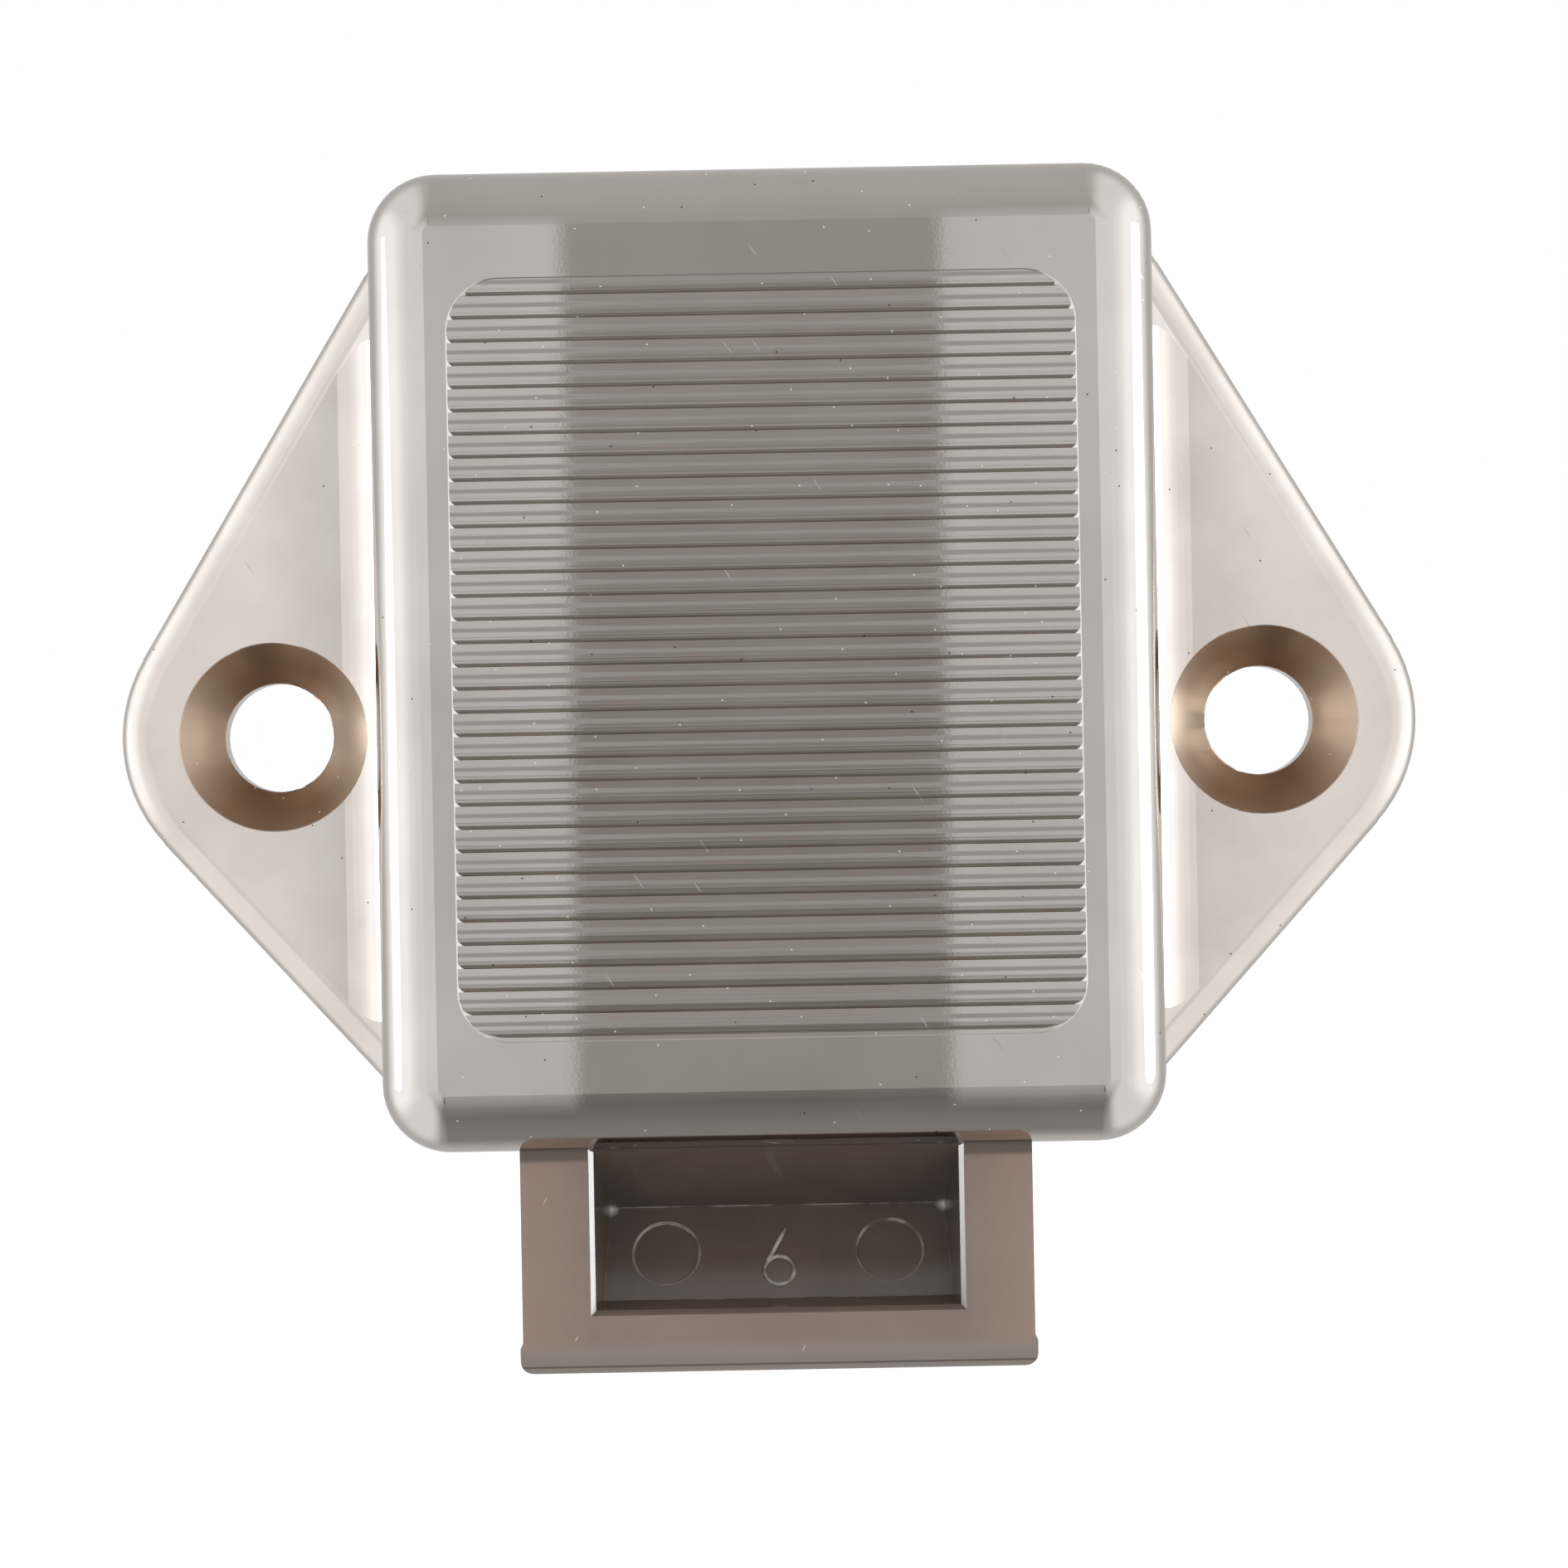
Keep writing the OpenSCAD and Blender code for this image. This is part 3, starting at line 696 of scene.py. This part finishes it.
def moulded_plastic(name, dark, light, roughness, grain_mm):
    """Moulded plastic: an even colour, faintly clouded by the flow in the mould, with a fine matt skin."""
    material, tree, shader, place = new_material(name)
    flow = add(tree, "ShaderNodeTexNoise", {"Scale": pattern_scale(3), "Detail": 3}, {"Vector": place})
    grain = add(
        tree,
        "ShaderNodeTexNoise",
        {"Scale": pattern_scale(grain_mm), "Detail": 2},
        {"Vector": place},
    )
    shade = add(tree, "ShaderNodeValToRGB", links={"Fac": flow.outputs["Fac"]})
    set_ramp(shade, [(0.3, linear(dark)), (0.7, linear(light))])
    tree.links.new(shade.outputs["Color"], shader.inputs["Base Color"])
    shader.inputs["Roughness"].default_value = roughness
    shader.inputs["IOR"].default_value = PLASTIC_IOR
    bump = add(
        tree,
        "ShaderNodeBump",
        {"Strength": 0.15, "Distance": 0.02 * MM},
        {"Height": grain.outputs["Fac"]},
    )
    tree.links.new(bump.outputs["Normal"], shader.inputs["Normal"])
    return material


def drawn_steel(name, dark, light, roughness):
    """Drawn or plated steel: a neutral metal, clouded a little, with faint drawing marks in its gloss."""
    material, tree, shader, place = new_material(name)
    shader.inputs["Metallic"].default_value = 1.0
    marks = add(tree, "ShaderNodeTexNoise", {"Scale": pattern_scale(0.3), "Detail": 2}, {"Vector": place})
    shade = add(tree, "ShaderNodeValToRGB", links={"Fac": marks.outputs["Fac"]})
    set_ramp(shade, [(0.3, linear(dark)), (0.7, linear(light))])
    tree.links.new(shade.outputs["Color"], shader.inputs["Base Color"])
    rough = add(
        tree,
        "ShaderNodeMapRange",
        {"From Min": 0.3, "From Max": 0.7, "To Min": roughness - 0.06, "To Max": roughness + 0.06},
        {"Value": marks.outputs["Fac"]},
    )
    tree.links.new(rough.outputs["Result"], shader.inputs["Roughness"])
    return material


def dress(node, material):
    """Gives a CAD node its finish."""
    piece = NODES[node]
    piece.data.materials.clear()
    piece.data.materials.append(material)


def shape_tree(name, sizes):
    """A geometry tree with a named input for each size, and the sockets that give those sizes."""
    tree = bpy.data.node_groups.new(name, "GeometryNodeTree")
    for label, kind in sizes:
        tree.interface.new_socket(label, in_out="INPUT", socket_type=kind)
    tree.interface.new_socket("Shape", in_out="OUTPUT", socket_type="NodeSocketGeometry")
    return tree, add(tree, "NodeGroupInput").outputs


def end_tree(tree, shape, finish, round_form=True):
    """Ends a geometry tree: smooth where its form is round, realised and with its finish."""
    smooth = add(tree, "GeometryNodeSetShadeSmooth", {"Shade Smooth": round_form}, {"Geometry": shape})
    real = add(tree, "GeometryNodeRealizeInstances", links={"Geometry": smooth.outputs["Geometry"]})
    finished = add(
        tree,
        "GeometryNodeSetMaterial",
        links={"Geometry": real.outputs["Geometry"], "Material": finish},
    )
    add(tree, "NodeGroupOutput", links={"Shape": finished.outputs["Geometry"]})


def wound_spring_tree():
    """Compression spring on z = 0: a wire wound round a helix, with a closed turn at each end."""
    tree, given = shape_tree(
        "wound_spring",
        [
            ("Mean Radius", "NodeSocketFloat"),
            ("Wire Radius", "NodeSocketFloat"),
            ("Turns", "NodeSocketFloat"),
            ("Length", "NodeSocketFloat"),
            ("Finish", "NodeSocketMaterial"),
        ],
    )
    helix = add(
        tree,
        "GeometryNodeCurveSpiral",
        {"Resolution": STEPS_A_TURN, "Height": 0.0},
        {
            "Rotations": given["Turns"],
            "Start Radius": given["Mean Radius"],
            "End Radius": given["Mean Radius"],
        },
    )
    along = add(tree, "GeometryNodeSplineParameter")
    turn = add(
        tree,
        "ShaderNodeMath",
        links={0: along.outputs["Factor"], 1: given["Turns"]},
        operation="MULTIPLY",
    )
    wire = add(tree, "ShaderNodeMath", {1: 2.0}, {0: given["Wire Radius"]}, operation="MULTIPLY")
    last = add(tree, "ShaderNodeMath", {1: 1.0}, {0: given["Turns"]}, operation="SUBTRACT")
    three_wires = add(tree, "ShaderNodeMath", {1: 6.0}, {0: given["Wire Radius"]}, operation="MULTIPLY")
    free_rise = add(
        tree,
        "ShaderNodeMath",
        links={0: given["Length"], 1: three_wires.outputs["Value"]},
        operation="SUBTRACT",
    )
    first_turn = add(
        tree,
        "ShaderNodeMapRange",
        {"From Min": 0.0, "From Max": 1.0, "To Min": 0.0},
        {"Value": turn.outputs["Value"], "To Max": wire.outputs["Value"]},
    )
    free_turns = add(
        tree,
        "ShaderNodeMapRange",
        {"From Min": 1.0, "To Min": 0.0},
        {
            "Value": turn.outputs["Value"],
            "From Max": last.outputs["Value"],
            "To Max": free_rise.outputs["Value"],
        },
    )
    last_turn = add(
        tree,
        "ShaderNodeMapRange",
        {"To Min": 0.0},
        {
            "Value": turn.outputs["Value"],
            "From Min": last.outputs["Value"],
            "From Max": given["Turns"],
            "To Max": wire.outputs["Value"],
        },
    )
    low = add(
        tree,
        "ShaderNodeMath",
        links={0: first_turn.outputs["Result"], 1: free_turns.outputs["Result"]},
        operation="ADD",
    )
    high = add(
        tree,
        "ShaderNodeMath",
        links={0: low.outputs["Value"], 1: last_turn.outputs["Result"]},
        operation="ADD",
    )
    rise = add(
        tree,
        "ShaderNodeMath",
        links={0: high.outputs["Value"], 1: given["Wire Radius"]},
        operation="ADD",
    )
    lift = add(tree, "ShaderNodeCombineXYZ", links={"Z": rise.outputs["Value"]})
    wound = add(
        tree,
        "GeometryNodeSetPosition",
        links={"Geometry": helix.outputs["Curve"], "Offset": lift.outputs["Vector"]},
    )
    section = add(
        tree,
        "GeometryNodeCurvePrimitiveCircle",
        {"Resolution": WIRE_SIDES},
        {"Radius": given["Wire Radius"]},
    )
    drawn = add(
        tree,
        "GeometryNodeCurveToMesh",
        {"Fill Caps": True},
        {"Curve": wound.outputs["Geometry"], "Profile Curve": section.outputs["Curve"]},
    )
    end_tree(tree, drawn.outputs["Mesh"], given["Finish"])
    return tree


def raised_bead_tree():
    """Round bead that follows a path of edges."""
    tree, given = shape_tree(
        "raised_bead",
        [
            ("Path", "NodeSocketGeometry"),
            ("Bead Radius", "NodeSocketFloat"),
            ("Finish", "NodeSocketMaterial"),
        ],
    )
    path = add(tree, "GeometryNodeMeshToCurve", links={"Mesh": given["Path"]})
    section = add(
        tree,
        "GeometryNodeCurvePrimitiveCircle",
        {"Resolution": BEAD_SIDES},
        {"Radius": given["Bead Radius"]},
    )
    bead = add(
        tree,
        "GeometryNodeCurveToMesh",
        {"Fill Caps": True},
        {"Curve": path.outputs["Curve"], "Profile Curve": section.outputs["Curve"]},
    )
    end_tree(tree, bead.outputs["Mesh"], given["Finish"])
    return tree


def repeated_land_tree():
    """Straight land repeated in even steps, one for each rib."""
    tree, given = shape_tree(
        "repeated_land",
        [
            ("Land", "NodeSocketGeometry"),
            ("Count", "NodeSocketInt"),
            ("Step", "NodeSocketVector"),
            ("Finish", "NodeSocketMaterial"),
        ],
    )
    row = add(
        tree,
        "GeometryNodeMeshLine",
        links={"Count": given["Count"], "Offset": given["Step"]},
        mode="OFFSET",
    )
    lands = add(
        tree,
        "GeometryNodeInstanceOnPoints",
        links={"Points": row.outputs["Mesh"], "Instance": given["Land"]},
    )
    end_tree(tree, lands.outputs["Instances"], given["Finish"], round_form=False)
    return tree


def grow(name, tree, sizes, points=(), edges=(), faces=()):
    """A plain mesh grown by a geometry tree from its named sizes and, where given, a path or a form."""
    seed = bpy.data.objects.new(name + "_seed", bpy.data.meshes.new(name + "_seed"))
    seed.data.from_pydata(points, edges, faces)
    bpy.context.scene.collection.objects.link(seed)
    modifier = seed.modifiers.new(name, "NODES")
    modifier.node_group = tree
    for socket in tree.interface.items_tree:
        if socket.in_out == "INPUT" and socket.name in sizes:
            modifier[socket.identifier] = sizes[socket.name]
    grown = seed.evaluated_get(bpy.context.evaluated_depsgraph_get())
    mesh = bpy.data.meshes.new_from_object(grown)
    mesh.name = name
    bpy.data.objects.remove(seed)
    piece = bpy.data.objects.new(name, mesh)
    bpy.context.scene.collection.objects.link(piece)
    return piece


def make_return_springs(finish):
    """Wound springs in place of the plain ones, from the floor of the case up to the ears of the bolt."""
    tree = wound_spring_tree()
    for name, x in (("return_spring_left", -SPRING_X), ("return_spring_right", SPRING_X)):
        spring = grow(
            "wound_" + name,
            tree,
            {
                "Mean Radius": SPRING_MEAN,
                "Wire Radius": SPRING_WIRE,
                "Turns": SPRING_TURNS,
                "Length": SPRING_TOP - SPRING_FOOT,
                "Finish": finish,
            },
        )
        spring.data.transform(Matrix.Translation((x, SPRING_Y, SPRING_FOOT)))
        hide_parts(name)
        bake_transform(spring)


def make_rib_lands(finish):
    """Lands on both sides of each groove that leave it as a thin dark line: the upper one falls gently
    towards it, and the lower one is level. Each corner is how far down the rib and how deep it lies, in mm."""
    falling_land = [(0.42, RIB_DROP), (0.61, 0.048), (0.63, 0.25), (0.45, 0.25)]
    level_land = [(0.78, RIB_DROP), (1.0, RIB_DROP), (0.98, 0.12), (0.84, 0.25)]
    points = []
    faces = []
    for section in (falling_land, level_land):
        start = len(points)
        for x in (-RIB_HALF, RIB_HALF):
            for down, deep in section:
                points.append(Vector((x, RIB_FACE + deep, RIB_FIRST - down)) * MM)
        faces.append([start + i for i in (3, 2, 1, 0)])
        faces.append([start + i for i in (4, 5, 6, 7)])
        for i in range(4):
            j = (i + 1) % 4
            faces.append([start + i, start + j, start + j + 4, start + i + 4])
    lands = grow(
        "rib_lands",
        repeated_land_tree(),
        {"Count": RIB_COUNT, "Step": (0, 0, -RIB_PITCH * MM), "Finish": finish},
        points,
        faces=faces,
    )
    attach(lands, "housing")


def make_mould_number(finish):
    """Raised 6 in the pocket, as a mould numbers its cavities: a leaning stem that runs into a round bowl."""
    bowl = 0.67 * MM
    centre = Vector((0, -0.67)) * MM
    stem_top = Vector((0.3, 1.34)) * MM
    reach = stem_top - centre
    touch = math.atan2(reach.y, reach.x) + math.acos(bowl / reach.length)
    steps = 40
    flat = [stem_top]
    for i in range(steps + 1):
        angle = touch + 2 * math.pi * i / steps
        flat.append(centre + bowl * Vector((math.cos(angle), math.sin(angle))))
    lift = NUMBER_PLACE + 0.25 * NUMBER_BEAD * FLOOR_OUT
    points = [lift + Vector((p.x, 0, 0)) + p.y * FLOOR_UP for p in flat]
    edges = [(i, i + 1) for i in range(len(points) - 1)]
    number = grow(
        "mould_number",
        raised_bead_tree(),
        {"Bead Radius": NUMBER_BEAD, "Finish": finish},
        points,
        edges,
    )
    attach(number, "bolt")


def make_camera():
    """Camera of the photo, square to the door and rolled a little."""
    data = bpy.data.cameras.new("camera")
    data.lens = CAMERA_LENS
    data.sensor_width = 36
    data.clip_start = 0.01
    camera = bpy.data.objects.new("camera", data)
    right = Vector((math.cos(CAMERA_ROLL), 0, -math.sin(CAMERA_ROLL)))
    up = Vector((math.sin(CAMERA_ROLL), 0, math.cos(CAMERA_ROLL)))
    back = Vector((0, -1, 0))
    turn = Matrix((right, up, back)).transposed().to_4x4()
    camera.matrix_world = Matrix.Translation(CAMERA_PLACE) @ turn
    bpy.context.scene.collection.objects.link(camera)
    bpy.context.scene.camera = camera


def make_studio():
    """White room with a tall soft light at either side: the gap between them, towards the camera,
    is dim, and so are the ceiling and, most of all, the ground in front."""
    world = bpy.data.worlds.new("studio")
    world.use_nodes = True
    bpy.context.scene.world = world
    tree = world.node_tree
    tree.nodes.clear()
    way = add(tree, "ShaderNodeTexCoord").outputs["Generated"]
    axes = add(tree, "ShaderNodeSeparateXYZ", links={"Vector": way})

    off_middle = add(tree, "ShaderNodeMath", {1: 0.0075}, {0: axes.outputs["X"]}, operation="ADD")
    aside = add(tree, "ShaderNodeMath", links={0: off_middle.outputs["Value"]}, operation="ABSOLUTE")
    lights = add(tree, "ShaderNodeValToRGB", links={"Fac": aside.outputs["Value"]})
    set_ramp(
        lights,
        [
            (0.06, grey(0.48)),
            (0.125, grey(0.49)),
            (0.155, grey(0.64)),
            (0.60, grey(0.67)),
            (0.75, grey(0.75, -0.02)),
            (0.90, grey(0.92, -0.04)),
        ],
    )
    height = add(
        tree,
        "ShaderNodeMapRange",
        {"From Min": -1.0, "From Max": 1.0},
        {"Value": axes.outputs["Z"]},
    )
    room = add(tree, "ShaderNodeValToRGB", links={"Fac": height.outputs["Result"]})
    set_ramp(
        room,
        [
            (0.0, grey(0.20, 0.08)),
            (0.10, grey(0.165, 0.09)),
            (0.20, grey(0.145, 0.10)),
            (0.30, grey(0.13, 0.10)),
            (0.38, grey(0.16, 0.10)),
            (0.44, grey(0.25, 0.10)),
            (0.465, grey(0.29, 0.10)),
            (0.49, grey(0.205, 0.14)),
            (0.60, grey(0.30, 0.08)),
            (0.675, grey(0.333, 0.06)),
            (1.0, grey(0.387, 0.05)),
        ],
    )
    tall = add(tree, "ShaderNodeValToRGB", links={"Fac": height.outputs["Result"]})
    set_ramp(
        tall,
        [
            (0.125, grey(0.0)),
            (0.25, grey(0.2)),
            (0.36, grey(0.5)),
            (0.44, grey(0.82)),
            (0.465, grey(0.95)),
            (0.50, grey(0.86)),
            (0.56, grey(1.0)),
            (0.60, grey(1.0)),
            (0.74, grey(0.0)),
        ],
    )
    outside = add(
        tree,
        "ShaderNodeMapRange",
        {"From Min": 0.057, "From Max": 0.061},
        {"Value": aside.outputs["Value"]},
    )
    cards = add(
        tree,
        "ShaderNodeMath",
        links={0: tall.outputs["Color"], 1: outside.outputs["Result"]},
        operation="MULTIPLY",
    )
    beside = add(
        tree,
        "ShaderNodeMapRange",
        {"From Min": 0.12, "From Max": 0.5},
        {"Value": aside.outputs["Value"]},
        interpolation_type="SMOOTHSTEP",
    )
    lit = add(
        tree,
        "ShaderNodeMath",
        links={0: cards.outputs["Value"], 1: beside.outputs["Result"]},
        operation="MAXIMUM",
    )
    front = add(
        tree,
        "ShaderNodeMix",
        links={0: lit.outputs["Value"], 6: room.outputs["Color"], 7: lights.outputs["Color"]},
        data_type="RGBA",
    )
    rise = add(
        tree,
        "ShaderNodeMath",
        links={0: axes.outputs["Z"], 1: aside.outputs["Value"]},
        operation="ARCTAN2",
    )
    turned = add(
        tree,
        "ShaderNodeMapRange",
        {"From Min": -0.5 * math.pi, "From Max": 0.5 * math.pi},
        {"Value": rise.outputs["Value"]},
    )
    leaning = add(tree, "ShaderNodeValToRGB", links={"Fac": turned.outputs["Result"]})
    set_ramp(
        leaning,
        [
            (0.28, grey(1.0)),
            (0.39, grey(0.0)),
            (0.68, grey(0.0)),
            (0.75, grey(1.0)),
        ],
    )
    corner = add(
        tree,
        "ShaderNodeMath",
        links={0: leaning.outputs["Color"], 1: beside.outputs["Result"]},
        operation="MULTIPLY",
    )
    sides = add(
        tree,
        "ShaderNodeMix",
        {7: (*grey(0.66), 1.0)},
        {0: corner.outputs["Value"], 6: front.outputs[2]},
        data_type="RGBA",
    )
    behind = add(
        tree,
        "ShaderNodeMapRange",
        {"From Min": 0.1, "From Max": 0.7},
        {"Value": axes.outputs["Y"]},
        interpolation_type="SMOOTHSTEP",
    )
    around = add(
        tree,
        "ShaderNodeMix",
        {7: (*grey(0.38), 1.0)},
        {0: behind.outputs["Result"], 6: sides.outputs[2]},
        data_type="RGBA",
    )
    strips = add(
        tree,
        "ShaderNodeMapRange",
        {"From Min": 0.975, "From Max": 0.985, "To Min": 1.5, "To Max": 12.0},
        {"Value": aside.outputs["Value"]},
    )
    mirrored = add(
        tree,
        "ShaderNodeBackground",
        links={"Color": around.outputs[2], "Strength": strips.outputs["Result"]},
    )
    seen = add(tree, "ShaderNodeBackground", {"Color": (1, 1, 1, 1)})
    ray = add(tree, "ShaderNodeLightPath")
    mixed = add(
        tree,
        "ShaderNodeMixShader",
        links={0: ray.outputs["Is Camera Ray"], 1: mirrored.outputs[0], 2: seen.outputs[0]},
    )
    add(tree, "ShaderNodeOutputWorld", links={"Surface": mixed.outputs[0]})


def make_floor():
    """Pale paper, lit from below so that it stays white, just under the nose of the bolt."""
    low = cad_box[0].z - 1.5 * MM
    reach = 3.0
    corners = [(-reach, -reach, low), (reach, -reach, low), (reach, reach, low), (-reach, reach, low)]
    mesh = bpy.data.meshes.new("floor")
    mesh.from_pydata(corners, [], [(0, 1, 2, 3)])
    floor = bpy.data.objects.new("floor", mesh)
    material, _, shader, _ = new_material("white_paper_floor")
    shader.inputs["Base Color"].default_value = rgba("#a8a8a8")
    shader.inputs["Roughness"].default_value = 0.9
    shader.inputs["Emission Color"].default_value = (1, 1, 1, 1)
    shader.inputs["Emission Strength"].default_value = 0.85
    mesh.materials.append(material)
    floor.visible_glossy = False
    floor.visible_diffuse = False
    bpy.context.scene.collection.objects.link(floor)


nickel = satin_nickel()
bolt_acetal = acetal_bolt()
spring_steel = drawn_steel("drawn_spring_wire", "#b4b6b9", "#cbccce", 0.28)
dress("case", nickel)
dress("bolt", bolt_acetal)
dress("cover_plate", moulded_plastic("matt_moulded_cover", "#5d534c", "#665b53", 0.55, 0.2))
dress("plunger", moulded_plastic("smooth_acetal_plunger", "#4c443e", "#544b45", 0.4, 0.15))
dress("latch_wire", spring_steel)
dress("cover_screws", drawn_steel("zinc_plated_screw", "#c2c2be", "#d6d6d2", 0.32))
make_return_springs(spring_steel)
make_mould_number(bolt_acetal)
make_rib_lands(nickel)

make_camera()
make_studio()
make_floor()
bpy.context.scene.view_settings.view_transform = "Standard"
